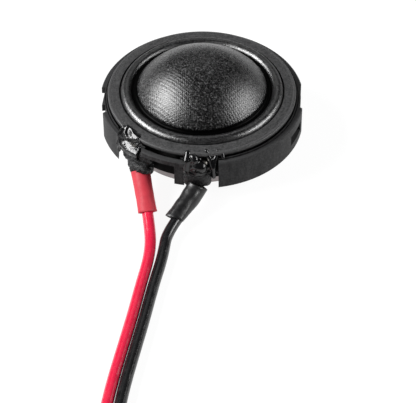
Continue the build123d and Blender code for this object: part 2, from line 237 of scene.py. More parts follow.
def lump(turns, radii, heights, power):
    """A rounded lump that follows the ring, from its turns, radii and heights: points and faces.

    A power of 2 makes it an ellipsoid, and a higher power makes it more like a block.
    """
    rows, columns = 24, 36
    middle = [(a + b) / 2 for a, b in (turns, radii, heights)]
    half = [(b - a) / 2 for a, b in (turns, radii, heights)]
    verts = []
    for way in ball_ways(rows, columns):
        reach = sum(abs(w) ** power for w in way) ** (-1 / power)
        verts.append(tuple(ring_point(*(m + h * w * reach for m, h, w in zip(middle, half, way)))))
    return verts, skin_faces(rows + 1, columns)


def strand(points, radii):
    """A run of balls through (turn, radius, height) points, to be melted into one rope."""
    rows, columns = 10, 16
    ways = [Vector(way) for way in ball_ways(rows, columns)]
    faces = skin_faces(rows + 1, columns)
    balls = []
    for a, b, ra, rb in zip(points, points[1:], radii, radii[1:]):
        a, b = ring_point(*a), ring_point(*b)
        steps = max(2, int((b - a).length / (0.35 * min(ra, rb))))
        for n in range(steps + 1):
            t = n / steps
            middle, r = a.lerp(b, t), ra + (rb - ra) * t
            balls.append(([tuple(middle + way * r) for way in ways], faces))
    return balls


def slab(turns, foot, tops):
    """Closed sections of (radius, height) points, evenly spaced from one turn to another.

    Each section is one of the tops, closed by the same foot: points and faces.
    """
    count = len(tops[0]) + len(foot)
    steps = len(tops) - 1
    verts = []
    for k, top in enumerate(tops):
        turn = turns[0] + (turns[1] - turns[0]) * k / steps
        verts += [tuple(ring_point(turn, r, z)) for r, z in (*top, *foot)]
    ends = [tuple(range(count)), tuple(reversed(range(steps * count, (steps + 1) * count)))]
    return verts, ends + skin_faces(steps + 1, count)


def blob(name, lumps, voxel, ripples, shift, flow):
    """Lumps run together into one skin, then rippled: each ripple is (size, depth).

    Voxel is the skin's mesh size, flow is how many times it is smoothed, and shift moves the
    ripples, so that no two blobs have the same.
    """
    verts, faces = [], []
    for one_verts, one_faces in lumps:
        base = len(verts)
        verts += one_verts
        faces += [tuple(base + i for i in face) for face in one_faces]
    raw = bpy.data.meshes.new(f"{name}_raw")
    raw.from_pydata(verts, [], faces)
    source = put_in_scene(f"{name}_raw", raw)
    weld_mesh(raw, WELD_MM)
    remesh = source.modifiers.new("remesh", "REMESH")
    remesh.mode = "VOXEL"
    remesh.voxel_size = voxel
    smooth = source.modifiers.new("smooth", "SMOOTH")
    smooth.factor = 0.5
    smooth.iterations = flow
    bpy.context.view_layer.update()
    graph = bpy.context.evaluated_depsgraph_get()
    data = bpy.data.meshes.new_from_object(source.evaluated_get(graph))
    bpy.data.objects.remove(source)
    bpy.data.meshes.remove(raw)
    data.name = name
    for vertex in data.vertices:
        place = Vector(vertex.co)
        rise = sum(
            depth * noise.noise((place + Vector((shift, shift * 0.7, 1.3 * k))) / size)
            for k, (size, depth) in enumerate(ripples)
        )
        vertex.co = (place + vertex.normal * rise) * MM
    for polygon in data.polygons:
        polygon.use_smooth = True
    data.update()
    return put_in_scene(name, data)


# ---------------------------------------------------------------- camera
CAMERA_PLACE = (1.17, -292.6, 264.55)
CAMERA_DOWN = 44.26  # degrees below level
CAMERA_ROLL = -0.22  # degrees
LENS = 161.95
SENSOR_WIDTH = 36.0


def make_camera():
    """The camera looks along +Y and down at the tweeter, with a long lens."""
    data = bpy.data.cameras.new("camera")
    data.lens = LENS
    data.sensor_width = SENSOR_WIDTH
    data.clip_start = 0.01
    data.clip_end = 10.0
    camera = put_in_scene("camera", data)
    tilt = Matrix.Rotation(math.radians(90 - CAMERA_DOWN), 4, "X")
    roll = Matrix.Rotation(math.radians(CAMERA_ROLL), 4, "Z")
    camera.matrix_world = Matrix.Translation(Vector(CAMERA_PLACE) * MM) @ tilt @ roll
    bpy.context.scene.camera = camera


make_camera()

# ---------------------------------------------------------------- the leads' routes
# The put-away coil: each lead's turns, in degrees wound, with the rise onto the second layer.
COIL_CENTRE = (-5.45, -96.5)
COIL_Z = 1.5
UPPER_Z = 3.85
TURN_R = {"red": 12.95, "black": 10.6}
WOUND = {"red": 415.0, "black": 425.0}
COIL_STEP = 20.0
RAMP = (285.0, 350.0)
# Inside its sleeve a lead runs straight from its joint, which ends JOINT_END past the knee.
SLEEVE_KNEE = {"red": (-12.15, -18.2, 3.15), "black": (-1.15, -22.4, 2.8)}
SLEEVE_END = {"red": (-10.8, -26.9, 2.15), "black": (-5.3, -28.4, 2.15)}
JOINT_END = 1.9
ROUTES = {
    "red": (
        (-10.2, -30.6, 1.7),
        (-10.25, -37.4, LEAD_Z),
        (-11.85, -45.4, LEAD_Z),
        (-13.2, -53.2, LEAD_Z),
        (-14.9, -61.6, LEAD_Z),
        (-16.6, -70.2, LEAD_Z),
        (-17.95, -79.3, LEAD_Z),
        (-18.4, -88.3, COIL_Z),
    ),
    "black": (
        (-6.9, -30.7, 1.7),
        (-7.7, -37.6, LEAD_Z),
        (-9.5, -45.8, LEAD_Z),
        (-10.95, -54.0, LEAD_Z),
        (-12.65, -62.4, LEAD_Z),
        (-14.35, -71.0, LEAD_Z),
        (-15.6, -80.0, LEAD_Z),
        (-16.05, -88.4, COIL_Z),
    ),
}
TAILS = {
    "red": (
        (-9.4, -109.5, 3.95),
        (-5.6, -111.9, 4.0),
        (1.6, -115.6, LEAD_Z),
        (8.2, -117.6, LEAD_Z),
    ),
    "black": (
        (-5.5, -108.3, 3.95),
        (0.6, -110.9, 4.05),
        (7.6, -112.9, LEAD_Z),
        (13.9, -113.1, LEAD_Z),
    ),
}


def coil_points(colour):
    """The put-away turns: one layer on the surface, then a rise onto the second layer."""
    reach = TURN_R[colour] / math.cos(math.radians(COIL_STEP) / 2)
    points = []
    steps = int(WOUND[colour] // COIL_STEP)
    for k in range(steps):
        wound = (k + 0.5) * COIL_STEP
        rise = min(max((wound - RAMP[0]) / (RAMP[1] - RAMP[0]), 0), 1)
        turn = math.radians(180 + wound)
        points.append(
            (
                COIL_CENTRE[0] + reach * math.cos(turn),
                COIL_CENTRE[1] + reach * math.sin(turn),
                COIL_Z + (UPPER_Z - COIL_Z) * rise,
            )
        )
    return points


def lead_points(colour):
    """The lead's whole route, from its soldered joint to its stripped end."""
    knee, end = Vector(SLEEVE_KNEE[colour]), Vector(SLEEVE_END[colour])
    start = knee + (end - knee).normalized() * JOINT_END
    return [tuple(start), *ROUTES[colour], *coil_points(colour), *TAILS[colour]]


def make_lead(colour, material):
    curve = bpy.data.curves.new(f"{colour}_lead_wire", "CURVE")
    curve.dimensions = "3D"
    points = lead_points(colour)
    spline = curve.splines.new("NURBS")
    spline.points.add(len(points) - 1)
    for point, place in zip(spline.points, points):
        point.co = (*(Vector(place) * MM), 1.0)
    spline.order_u = 3
    spline.use_endpoint_u = True
    spline.resolution_u = 10
    curve.bevel_depth = LEAD_Z * MM
    curve.bevel_resolution = 8
    curve.use_fill_caps = True
    wire = put_in_scene(f"{colour}_lead_wire", curve)
    finish_piece(
        wire, HOUSING, f"{colour}_insulation", material,
        f"{colour}_lead", f"{colour}_coil", f"{colour}_tail",
    )


# ---------------------------------------------------------------- materials
class Shader:
    """A principled material with a few short ways to add nodes to it."""

    def __init__(self, name, color, roughness, **settings):
        self.material = bpy.data.materials.new(name)
        self.material.use_nodes = True
        self.tree = self.material.node_tree
        self.bsdf = self.tree.nodes["Principled BSDF"]
        self.bsdf.inputs["Base Color"].default_value = (*color, 1)
        self.bsdf.inputs["Roughness"].default_value = roughness
        for key, value in settings.items():
            self.bsdf.inputs[key.replace("_", " ")].default_value = value
        self.coords = self.tree.nodes.new("ShaderNodeTexCoord").outputs["Object"]

    def node(self, kind, **values):
        made = self.tree.nodes.new(kind)
        for key, value in values.items():
            setattr(made, key, value)
        return made

    def link(self, source, target):
        if isinstance(source, (int, float, tuple)):
            target.default_value = source
        else:
            self.tree.links.new(source, target)

    def math(self, operation, a, b=0.0, c=0.0):
        made = self.node("ShaderNodeMath", operation=operation)
        for value, socket in zip((a, b, c), made.inputs):
            self.link(value, socket)
        return made.outputs[0]

    def noise(self, size_mm, detail=2.0, roughness=0.5, where=None):
        made = self.node("ShaderNodeTexNoise")
        self.link(where or self.coords, made.inputs["Vector"])
        made.inputs["Scale"].default_value = 1 / (size_mm * MM)
        made.inputs["Detail"].default_value = detail
        made.inputs["Roughness"].default_value = roughness
        return made.outputs["Fac"]

    def span(self, value, low, high, from_low=0.0, from_high=1.0):
        """Map a value that runs from from_low to from_high onto low to high, and clamp it."""
        made = self.node("ShaderNodeMapRange")
        for source, key in (
            (value, "Value"),
            (from_low, "From Min"),
            (from_high, "From Max"),
            (low, "To Min"),
            (high, "To Max"),
        ):
            self.link(source, made.inputs[key])
        return made.outputs["Result"]

    def mix(self, factor, a, b):
        made = self.node("ShaderNodeMix", data_type="RGBA")
        self.link(factor, made.inputs["Factor"])
        for source, key in ((a, "A"), (b, "B")):
            self.link((*source, 1) if isinstance(source, tuple) else source, made.inputs[key])
        return made.outputs["Result"]

    def xyz(self, vector):
        """The X, Y and Z outputs of a vector, by name."""
        parts = self.node("ShaderNodeSeparateXYZ")
        self.link(vector, parts.inputs[0])
        return parts.outputs

    def bump(self, height, depth_mm, strength=1.0, under=None):
        made = self.node("ShaderNodeBump")
        made.inputs["Strength"].default_value = strength
        made.inputs["Distance"].default_value = depth_mm * MM
        self.link(height, made.inputs["Height"])
        if under is not None:
            self.link(under, made.inputs["Normal"])
        return made.outputs["Normal"]

    def set(self, **sources):
        for key, source in sources.items():
            self.link(source, self.bsdf.inputs[key.replace("_", " ")])


def weave(shader, pitch_mm):
    """Height of a plain weave that lies in the XY plane."""
    place = shader.xyz(shader.coords)
    per_metre = 1 / (pitch_mm * MM)
    u = shader.math("MULTIPLY", place["X"], per_metre)
    v = shader.math("MULTIPLY", place["Y"], per_metre)

    def thread(across, along):
        # round across the thread, and over and under the crossing threads along it
        centred = shader.math("SUBTRACT", shader.math("FRACT", across), 0.5)
        crown = shader.math("COSINE", shader.math("MULTIPLY", centred, math.pi))
        row = shader.math("MULTIPLY", shader.math("FLOOR", across), math.pi)
        phase = shader.math("ADD", shader.math("MULTIPLY", along, math.pi), row)
        wave = shader.math("COSINE", phase)
        return shader.math("MULTIPLY_ADD", wave, 0.35, crown)

    shifted = shader.math("ADD", v, 0.5)
    warp = thread(u, shifted)
    weft = thread(shifted, u)
    return shader.math("MAXIMUM", warp, weft)


def dome_cloth():
    """A fine weave under a thin coat, with pale flecks where the coat is worn."""
    s = Shader("dome_cloth", (0.005, 0.005, 0.0052), 0.3, Specular_IOR_Level=0.78)
    cloth = s.bump(weave(s, 0.42), 0.03, 0.8)
    fleck = s.noise(0.34, 3.0, 0.75)
    uneven = s.bump(fleck, 0.09, 0.6, cloth)
    slow = s.bump(s.noise(5.0, 2.0, 0.5), 0.12, 0.12, uneven)
    worn = s.span(fleck, 0, 1, 0.54, 0.66)
    s.set(
        Normal=slow,
        Roughness=s.span(fleck, 0.22, 0.37, 0.3, 0.7),
        Base_Color=s.mix(worn, (0.0012, 0.0012, 0.0014), (0.15, 0.15, 0.152)),
    )
    return s.material


def coated_cloth():
    """The surround's cloth, under a thicker and glossier damping coat."""
    s = Shader("coated_cloth", (0.006, 0.006, 0.0062), 0.34, Specular_IOR_Level=1.0, IOR=1.65)
    grit = s.noise(0.4, 3.0, 0.75)
    worn = s.span(grit, 0, 1, 0.54, 0.68)
    s.set(
        Normal=s.bump(grit, 0.09, 0.65),
        Roughness=s.span(grit, 0.24, 0.4, 0.3, 0.7),
        Base_Color=s.mix(worn, (0.001, 0.001, 0.0012), (0.07, 0.07, 0.072)),
    )
    return s.material


def plastic(name, dark, light, roughness, grain_mm, grain_depth, strength):
    """Moulded plastic with a grain: its size, its depth in millimetres and its strength."""
    s = Shader(name, dark, roughness, Specular_IOR_Level=0.4)
    grit = s.noise(grain_mm, 4.0, 0.7)
    moulded = s.bump(s.noise(3.5, 2.0, 0.5), 0.1, 0.12, s.bump(grit, grain_depth, strength))
    s.set(
        Normal=moulded,
        Roughness=s.span(s.noise(1.1, 4.0, 0.6), roughness - 0.07, roughness + 0.1, 0.3, 0.7),
        Base_Color=s.mix(s.span(grit, 0, 1, 0.3, 0.7), dark, light),
    )
    return s.material


# near black, painted as shade on the skirt behind the wall and down in the shoulder's groove
PAINTED_SHADE = (0.001, 0.001, 0.001)
SKIRT_R = (18.3, 18.8)  # painted shade: near black at the skirt round the cup, fading out towards the outer wall
GROOVE_Z = (10.65, 10.95)  # from the groove's depth, in painted shade, to the shoulder ring's lit top


def chassis_plastic():
    """Moulded plastic with drawn streaks, painted lighter on its upward faces, and painted shade,
    near black and with little gloss, on the skirt behind the wall.
    """
    s = Shader("moulded_plastic", (0.012, 0.012, 0.013), 0.45, Specular_IOR_Level=0.28)
    grit = s.noise(0.4, 4.0, 0.7)
    drawn = s.node("ShaderNodeVectorMath", operation="MULTIPLY")
    s.link(s.coords, drawn.inputs[0])
    drawn.inputs[1].default_value = (1.0, 1.0, 0.25)
    streak = s.noise(1.3, 4.0, 0.6, drawn.outputs[0])
    place = s.xyz(s.coords)
    y_squared = s.math("POWER", place["Y"], 2.0)
    radius = s.math("SQRT", s.math("MULTIPLY_ADD", place["X"], place["X"], y_squared))
    # painted shade: the skirt inside SKIRT_R turns near black and loses gloss, as it lies in shadow
    # behind the wall
    outer = s.span(radius, 0, 1, SKIRT_R[0] * MM, SKIRT_R[1] * MM)
    worn = s.span(s.math("MULTIPLY", grit, streak), 0, 1, 0.12, 0.4)
    tone = s.mix(worn, (0.008, 0.008, 0.0085), (0.05, 0.05, 0.051))
    # painted light: faces that point up get a lighter tone than the walls, as if lit from above
    facing = s.xyz(s.node("ShaderNodeNewGeometry").outputs["Normal"])
    painted_top_light = s.mix(grit, (0.02, 0.02, 0.021), (0.06, 0.06, 0.061))
    tone = s.mix(s.span(facing["Z"], 0, 1, 0.35, 0.85), tone, painted_top_light)
    s.set(
        Normal=s.bump(streak, 0.05, 0.35, s.bump(grit, 0.02, 0.5)),
        Roughness=s.span(streak, 0.46, 0.64, 0.3, 0.7),
        Base_Color=s.mix(outer, PAINTED_SHADE, tone),
        Specular_IOR_Level=s.span(outer, 0.04, 0.12),
    )
    return s.material


def shoulder_plastic():
    """The chassis's plastic, paler on top, with painted shade, near black and with little gloss,
    down in the groove that it stands in.
    """
    s = Shader("shoulder_plastic", (0.03, 0.03, 0.031), 0.42)
    grit = s.noise(0.34, 4.0, 0.7)
    # painted shade: below GROOVE_Z the shoulder's flank turns black and loses its gloss
    top = s.span(s.xyz(s.coords)["Z"], 0, 1, GROOVE_Z[0] * MM, GROOVE_Z[1] * MM)
    tone = s.mix(s.span(grit, 0, 1, 0.3, 0.7), (0.028, 0.028, 0.029), (0.085, 0.085, 0.086))
    s.set(
        Normal=s.bump(s.noise(3.5, 2.0, 0.5), 0.1, 0.12, s.bump(grit, 0.03, 0.5)),
        Roughness=s.span(s.noise(1.1, 4.0, 0.6), 0.35, 0.52, 0.3, 0.7),
        Base_Color=s.mix(top, PAINTED_SHADE, tone),
        Specular_IOR_Level=s.span(top, 0.03, 0.4),
    )
    return s.material


def gloss_adhesive():
    """The terminals' glue, set hard and wet-looking."""
    s = Shader("gloss_adhesive", (0.004, 0.004, 0.0045), 0.2, Specular_IOR_Level=0.55)
    ripples = s.bump(s.noise(1.6, 2.0, 0.5), 0.12, 0.6)
    s.set(
        Normal=s.bump(s.noise(0.4, 2.0, 0.5), 0.015, 0.3, ripples),
        Roughness=s.span(s.noise(1.0), 0.14, 0.27),
    )
    return s.material


def bead_adhesive():
    """The dome's bead, nearly black and almost without gloss: painted shade, as it lies in shadow.
    """
    s = Shader("bead_adhesive", (0.0006, 0.0006, 0.0006), 0.35, Specular_IOR_Level=0.04)
    s.set(
        Normal=s.bump(s.noise(0.5, 3.0, 0.5), 0.04, 0.4),
        Roughness=s.span(s.noise(1.0), 0.3, 0.45),
    )
    return s.material


def heat_shrink(name, dark, light, roughness, gloss):
    """Shrunk tube: satin, with a fine skin and slow dents."""
    s = Shader(name, dark, roughness, Specular_IOR_Level=gloss)
    fine = s.bump(s.noise(0.22, 3.0, 0.6), 0.012, 0.5)
    s.set(
        Normal=s.bump(s.noise(1.7, 3.0, 0.5), 0.12, 0.3, fine),
        Roughness=s.span(s.noise(0.8, 3.0), roughness - 0.06, roughness + 0.1, 0.3, 0.7),
        Base_Color=s.mix(s.noise(1.3, 4.0, 0.6), dark, light),
    )
    return s.material


def insulation(name, dark, light, roughness, gloss):
    """Soft vinyl on a stranded wire: smoother and glossier than the sleeve."""
    s = Shader(name, dark, roughness, Specular_IOR_Level=gloss)
    fine = s.bump(s.noise(0.5, 2.0, 0.5), 0.008, 0.15)
    s.set(
        Normal=s.bump(s.noise(3.2, 2.0, 0.5), 0.06, 0.12, fine),
        Roughness=s.span(s.noise(1.6, 3.0), roughness - 0.05, roughness + 0.09, 0.3, 0.7),
        Base_Color=s.mix(s.noise(2.2, 3.0, 0.6), dark, light),
    )
    return s.material


def metal(name, dark, light, roughness, grain_mm=0.3):
    s = Shader(name, dark, roughness, Metallic=1.0)
    s.set(
        Normal=s.bump(s.noise(grain_mm, 3.0, 0.6), 0.01, 0.4),
        Roughness=s.span(s.noise(1.2, 4.0, 0.6), roughness - 0.08, roughness + 0.12, 0.3, 0.7),
        Base_Color=s.mix(s.noise(2.0, 4.0, 0.6), dark, light),
    )
    return s.material


def felt():
    s = Shader("felt", (0.1, 0.1, 0.1), 0.95, Sheen_Weight=0.4, Sheen_Roughness=0.5)
    s.set(
        Normal=s.bump(s.noise(0.2, 5.0, 0.7), 0.15, 0.9),
        Base_Color=s.mix(s.noise(0.4, 5.0, 0.7), (0.06, 0.06, 0.06), (0.16, 0.16, 0.15)),
    )
    return s.material


WINDING_PITCH = 0.12


def wire_windings():
    """Enamelled wire, wound turn beside turn."""
    s = Shader("enamelled_wire", (0.45, 0.16, 0.06), 0.28, Metallic=1.0)
    height = s.xyz(s.coords)["Z"]
    turns = s.math("SINE", s.math("MULTIPLY", height, 2 * math.pi / (WINDING_PITCH * MM)))
    s.set(
        Normal=s.bump(turns, 0.04, 0.8),
        Base_Color=s.mix(s.noise(0.8, 3.0), (0.35, 0.12, 0.05), (0.55, 0.22, 0.09)),
    )
    return s.material


MOULDED = chassis_plastic()
SHOULDER = shoulder_plastic()
GRAINED = plastic(
    "grained_plastic", (0.006, 0.006, 0.0065), (0.08, 0.08, 0.081), 0.44, 0.36, 0.09, 0.9
)
BLOCK = plastic(
    "block_plastic", (0.001, 0.001, 0.0015), (0.028, 0.028, 0.029), 0.42, 0.6, 0.3, 1.0
)
DOME = dome_cloth()
CLOTH = coated_cloth()
GLUE = gloss_adhesive()
BEAD = bead_adhesive()
RED_SLEEVE = heat_shrink("red_heat_shrink", (0.42, 0.03, 0.045), (0.58, 0.05, 0.07), 0.5, 0.22)
BLACK_SLEEVE = heat_shrink(
    "black_heat_shrink", (0.003, 0.003, 0.0035), (0.013, 0.013, 0.0135), 0.37, 0.5
)
RED_WIRE = insulation("red_insulation", (0.6, 0.006, 0.04), (0.74, 0.02, 0.065), 0.22, 0.7)
BLACK_WIRE = insulation("black_insulation", (0.003, 0.003, 0.0035), (0.009, 0.009, 0.01), 0.24, 0.6)
STEEL = metal("plated_steel", (0.21, 0.19, 0.19), (0.3, 0.27, 0.27), 0.36)
NICKEL = metal("magnet_plating", (0.55, 0.55, 0.54), (0.7, 0.7, 0.69), 0.22)
TIN = metal("solder", (0.6, 0.6, 0.61), (0.8, 0.8, 0.81), 0.25)
BRASS = metal("tinned_brass", (0.62, 0.6, 0.55), (0.78, 0.75, 0.68), 0.3)
FOIL = metal("former_foil", (0.6, 0.6, 0.6), (0.75, 0.75, 0.75), 0.35)
TINSEL = metal("tinsel_wire", (0.5, 0.25, 0.12), (0.68, 0.4, 0.2), 0.4, 0.15)
TIE = plastic("tie_plastic", (0.012, 0.012, 0.013), (0.03, 0.03, 0.031), 0.45, 0.4, 0.02, 0.4)

# ---------------------------------------------------------------- the leads
make_lead("red", RED_WIRE)
make_lead("black", BLACK_WIRE)

# ---------------------------------------------------------------- CAD nodes that stay
kept = {
    "chassis": MOULDED,
    "yoke_cup": STEEL,
    "magnet": NICKEL,
    "pole_plate": STEEL,
    "damping_felt": felt(),
    "voice_coil_former": FOIL,
    "voice_coil_winding": wire_windings(),
    "coil_tie": TIE,
}
for colour in COLOURS:
    kept[f"{colour}_terminal_tag"] = BRASS
    kept[f"{colour}_tinsel_solder"] = TIN
    kept[f"{colour}_lead_joint"] = TIN
    kept[f"{colour}_tinned_end"] = TIN
for name, material in kept.items():
    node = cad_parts[name]
    node.data.materials.clear()
    node.data.materials.append(material)


# ---------------------------------------------------------------- dome, bead, surround and rings
DOME_EDGE = (13.1, 12.8)
DOME_TOP = 19.3
DOME_RISE = DOME_TOP - DOME_EDGE[1]
SPHERE_R = (DOME_EDGE[0] ** 2 + DOME_RISE**2) / (2 * DOME_RISE)
SPHERE_Z = DOME_TOP - SPHERE_R
DOME_CLOTH = 0.3  # thickness
COLLAR_Z = 12.45  # where the dome's cloth turns down
ROLL = (15.55, 11.25)  # the middle of the half roll, as radius and height
ROLL_R = 1.27
ROLL_CLOTH = 0.25  # thickness


def make_dome():
    """The cloth dome with its turned-down collar."""

    def slope_at(z, radius):
        return math.degrees(math.asin((z - SPHERE_Z) / radius))

    outside = arc(0, SPHERE_Z, SPHERE_R, 90, slope_at(COLLAR_Z, SPHERE_R), 60)
    inner_r = SPHERE_R - DOME_CLOTH
    inside = arc(0, SPHERE_Z, inner_r, slope_at(COLLAR_Z, inner_r), 90, 50)
    collar = [(13.3, 12.3), (13.3, 11.85), (13.03, 11.85), (13.03, 12.4)]
    # the two points on the axis are kept just off it, and the weld joins them
    profile = [(max(r, 1e-5), z) for r, z in outside + collar + inside]
    obj = lathe("dome_skin", profile, 256)
    finish_piece(obj, DIAPHRAGM, "dome_cloth", DOME, "dome")


def make_bead():
    """The bead of adhesive between the dome and the roll, a little uneven on top."""
    top = [(13.42, 12.4), (13.47, 12.1), (13.58, 11.88), (13.8, 11.76), (14.05, 11.74)]
    top += [(14.25, 11.79), (14.42, 11.9)]
    flank = arc(*ROLL, ROLL_R + 0.03, 150, 165.5, 4)[1:]
    foot = [(13.34, 11.58), (13.36, 12.0)]

    def uneven(r, z, turn):
        rise = noise.noise(Vector((math.cos(turn) * 5, math.sin(turn) * 5, 0.5)))
        return 0.07 * rise if z > 11.6 and 13.5 < r < 14.4 else 0

    obj = lathe("edge_bead_ring", top + flank + foot, lift=uneven)
    finish_piece(obj, DIAPHRAGM, "gloss_adhesive", BEAD, "edge_bead")


def make_surround():
    """The half-roll surround, from the bead to the lip under the flange."""
    start = math.degrees(math.asin(0.3 / ROLL_R))
    outside = arc(*ROLL, ROLL_R, 180 - start, 3, 36)
    inside = arc(*ROLL, ROLL_R - ROLL_CLOTH, 0, 180, 30)
    lip = [(17.2, 11.32), (18.5, 11.32), (18.5, 11.07), (16.9, 11.07), (16.6, 11.1)]
    rim = [(13.52, 11.26), (13.5, 11.4), (13.54, 11.54), (14.0, 11.55)]
    obj = lathe("surround_roll", outside + lip + inside + rim)
    finish_piece(obj, None, "coated_cloth", CLOTH, "surround")
    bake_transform(obj)


def make_rings():
    """The textured flange on the surround's lip, and the shoulder ring outside it."""
    flange = rounded([(17.05, 11.34), (18.73, 11.34), (18.73, 11.58), (17.05, 11.74)], 0.06)
    obj = lathe("flange_ring", flange)
    finish_piece(obj, HOUSING, "grained_plastic", GRAINED, "diaphragm_flange")
    corner = arc(19.14, 11.16, 0.28, 84, 0, 8)
    shoulder = [(18.68, 11.46), (18.76, 11.55), *corner, (19.42, 9.62), (18.68, 9.62)]
    obj = lathe("shoulder_band", shoulder)
    finish_piece(obj, HOUSING, "moulded_plastic", SHOULDER, "shoulder_ring")


make_dome()
make_bead()
make_surround()
make_rings()


# ---------------------------------------------------------------- terminals
# Glue sections run over the top from the ring outwards, and the foot closes them underneath.
RED_FOOT = [(21.5, 8.0), (20.8, 6.7), (18.3, 6.7), (18.3, 11.2)]
RED_TOPS = [
    [(18.9, 11.5), (19.4, 11.4), (20.1, 10.7), (20.5, 10.3), (20.6, 9.9), (20.9, 9.4), (21.3, 8.8)],
    [(18.4, 12.0), (18.8, 11.9), (20.3, 10.6), (20.5, 10.2), (20.6, 9.8), (20.8, 9.5), (21.5, 8.7)],
    [(18.4, 11.8), (19.2, 11.8), (20.2, 10.9), (20.3, 10.2), (20.2, 9.8), (20.6, 9.6), (21.5, 8.8)],
    [(18.4, 11.7), (19.3, 11.6), (19.9, 11.0), (20.0, 10.2), (20.1, 9.9), (20.7, 9.7), (21.6, 8.8)],
    [(18.4, 11.4), (19.0, 11.3), (19.7, 10.7), (19.8, 10.1), (20.0, 9.9), (20.6, 9.6), (21.5, 8.8)],
]
BLACK_FOOT = [(20.6, 7.0), (18.3, 7.0), (18.3, 10.7)]
BLACK_TOPS = [
    [(18.4, 11.4), (19.2, 11.2), (20.2, 10.4), (20.9, 9.0), (21.2, 7.6)],
    [(18.4, 11.5), (19.4, 11.2), (20.4, 10.2), (21.0, 8.8), (21.3, 7.6)],
    [(18.35, 11.3), (18.9, 10.9), (20.3, 10.0), (21.3, 8.9), (21.5, 7.7)],
    [(18.35, 11.2), (18.7, 10.6), (19.3, 9.6), (20.2, 8.3), (20.9, 7.5)],
    [(18.4, 11.4), (18.8, 11.1), (19.4, 10.3), (20.1, 9.0), (20.6, 7.6)],
    [(18.4, 11.4), (18.9, 11.2), (19.3, 10.6), (19.8, 9.6), (20.2, 8.2)],
]
# Ropes of glue on top of each run: (turn, radius, height) points, and the rope's radius at each.
RED_ROPES = [
    ([(215.6, 19.4, 11.3), (215.2, 20.5, 9.8), (215.4, 20.7, 6.0)], [0.55, 0.5, 0.4]),
    (
        [(217.2, 18.8, 11.7), (218.6, 19.9, 10.9), (222.0, 20.3, 10.5), (226.5, 19.6, 10.9)],
        [0.4, 0.45, 0.4, 0.35],
    ),
    ([(229.0, 20.0, 9.9), (232.8, 18.8, 11.0)], [0.45, 0.4]),
]
BLACK_ROPES = [
    ([(261.4, 18.9, 11.0), (261.2, 20.1, 10.0), (261.0, 20.6, 8.4)], [0.75, 0.85, 0.75]),
    ([(265.2, 19.6, 10.6), (265.8, 20.0, 10.3)], [0.9, 0.9]),
    ([(267.6, 20.2, 8.9), (269.4, 20.3, 8.7)], [1.35, 1.3]),
    ([(263.4, 21.0, 7.7), (266.0, 21.2, 7.3), (271.0, 20.9, 7.4)], [0.45, 0.4, 0.4]),
    ([(272.6, 18.5, 11.5), (274.4, 19.4, 10.4), (276.2, 20.5, 8.3)], [0.45, 0.5, 0.5]),
    ([(279.8, 18.6, 11.3), (277.8, 19.6, 10.2), (276.4, 20.5, 8.3)], [0.45, 0.5, 0.5]),
    ([(276.3, 20.5, 8.6), (276.5, 20.8, 6.4)], [0.5, 0.45]),
    ([(282.0, 19.0, 11.0), (282.3, 19.8, 10.4)], [0.5, 0.45]),
]
GLUE_VOXEL = 0.11
BLOCK_VOXEL = 0.13


def make_terminals():
    """Over each terminal a run of glossy glue, and under it the rough block that it holds."""
    red_glue = [slab((215.2, 232.2), RED_FOOT, RED_TOPS)]
    for points, radii in RED_ROPES:
        red_glue += strand(points, radii)
    ripples = ((2.4, 0.35), (1.0, 0.06))
    obj = blob("red_glue_run", red_glue, GLUE_VOXEL, ripples, shift=3.1, flow=16)
    finish_piece(obj, HOUSING, "gloss_adhesive", GLUE, "red_glue")
    black_glue = [slab((259.4, 280.5), BLACK_FOOT, BLACK_TOPS)]
    for points, radii in BLACK_ROPES:
        black_glue += strand(points, radii)
    ripples = ((1.8, 0.1), (0.9, 0.02))
    obj = blob("black_glue_run", black_glue, GLUE_VOXEL, ripples, shift=8.7, flow=20)
    finish_piece(obj, HOUSING, "gloss_adhesive", GLUE, "black_glue")
    red_block = [
        lump((216.8, 238.0), (18.1, 20.75), (4.6, 7.6), 4.0),
        lump((222.5, 238.6), (18.1, 21.1), (3.0, 6.9), 4.5),
        lump((230.6, 238.4), (18.6, 20.8), (5.0, 9.3), 4.0),
        lump((227.6, 239.4), (19.5, 22.5), (3.7, 6.9), 3.5),
    ]
    ripples = ((1.3, 0.25), (0.6, 0.3), (0.3, 0.12))
    obj = blob("red_block_body", red_block, BLOCK_VOXEL, ripples, shift=1.7, flow=2)
    finish_piece(obj, HOUSING, "block_plastic", BLOCK, "red_terminal_block")
    black_block = [lump((259.7, 275.2), (18.1, 21.6), (4.3, 7.5), 5.0)]
    ripples = ((1.3, 0.2), (0.6, 0.2), (0.3, 0.1))
    obj = blob("black_block_body", black_block, BLOCK_VOXEL, ripples, shift=5.2, flow=2)
    finish_piece(obj, HOUSING, "block_plastic", BLOCK, "black_terminal_block")


make_terminals()

# ---------------------------------------------------------------- sleeves
SLEEVE_WALL = 0.25  # thickness at the cut end
SLEEVE_SEGMENTS = 64


def sleeve_profile(length, bore, outside):
    """(distance, radius) points from the mouth, along the outside, and back through the bore."""
    outer = [(length * t, outside(t)) for t in (k / 24 for k in range(25))]
    return [
        (0.0, bore + 0.2),
        (-0.12, (bore + outside(0)) / 2),
        *outer,
        (length + 0.03, outside(1) - SLEEVE_WALL / 2),
        (length, outside(1) - SLEEVE_WALL),
        (length - 0.9, 1.22),
        (length - 1.6, 1.2),
        (2.6, bore),
    ]


def make_sleeve(colour, points, profile, material, ripple, slant, cut):
    """A heat-shrink sleeve along three points, from its mouth to its flattened end."""
    path = bezier([Vector(p) for p in points], 12)
    name = f"{colour}_heat_shrink"
    obj = sleeve_mesh(name, path, profile, SLEEVE_SEGMENTS, ripple, slant, cut, flat=0.34)
    finish_piece(obj, HOUSING, name, material, f"{colour}_sleeve")


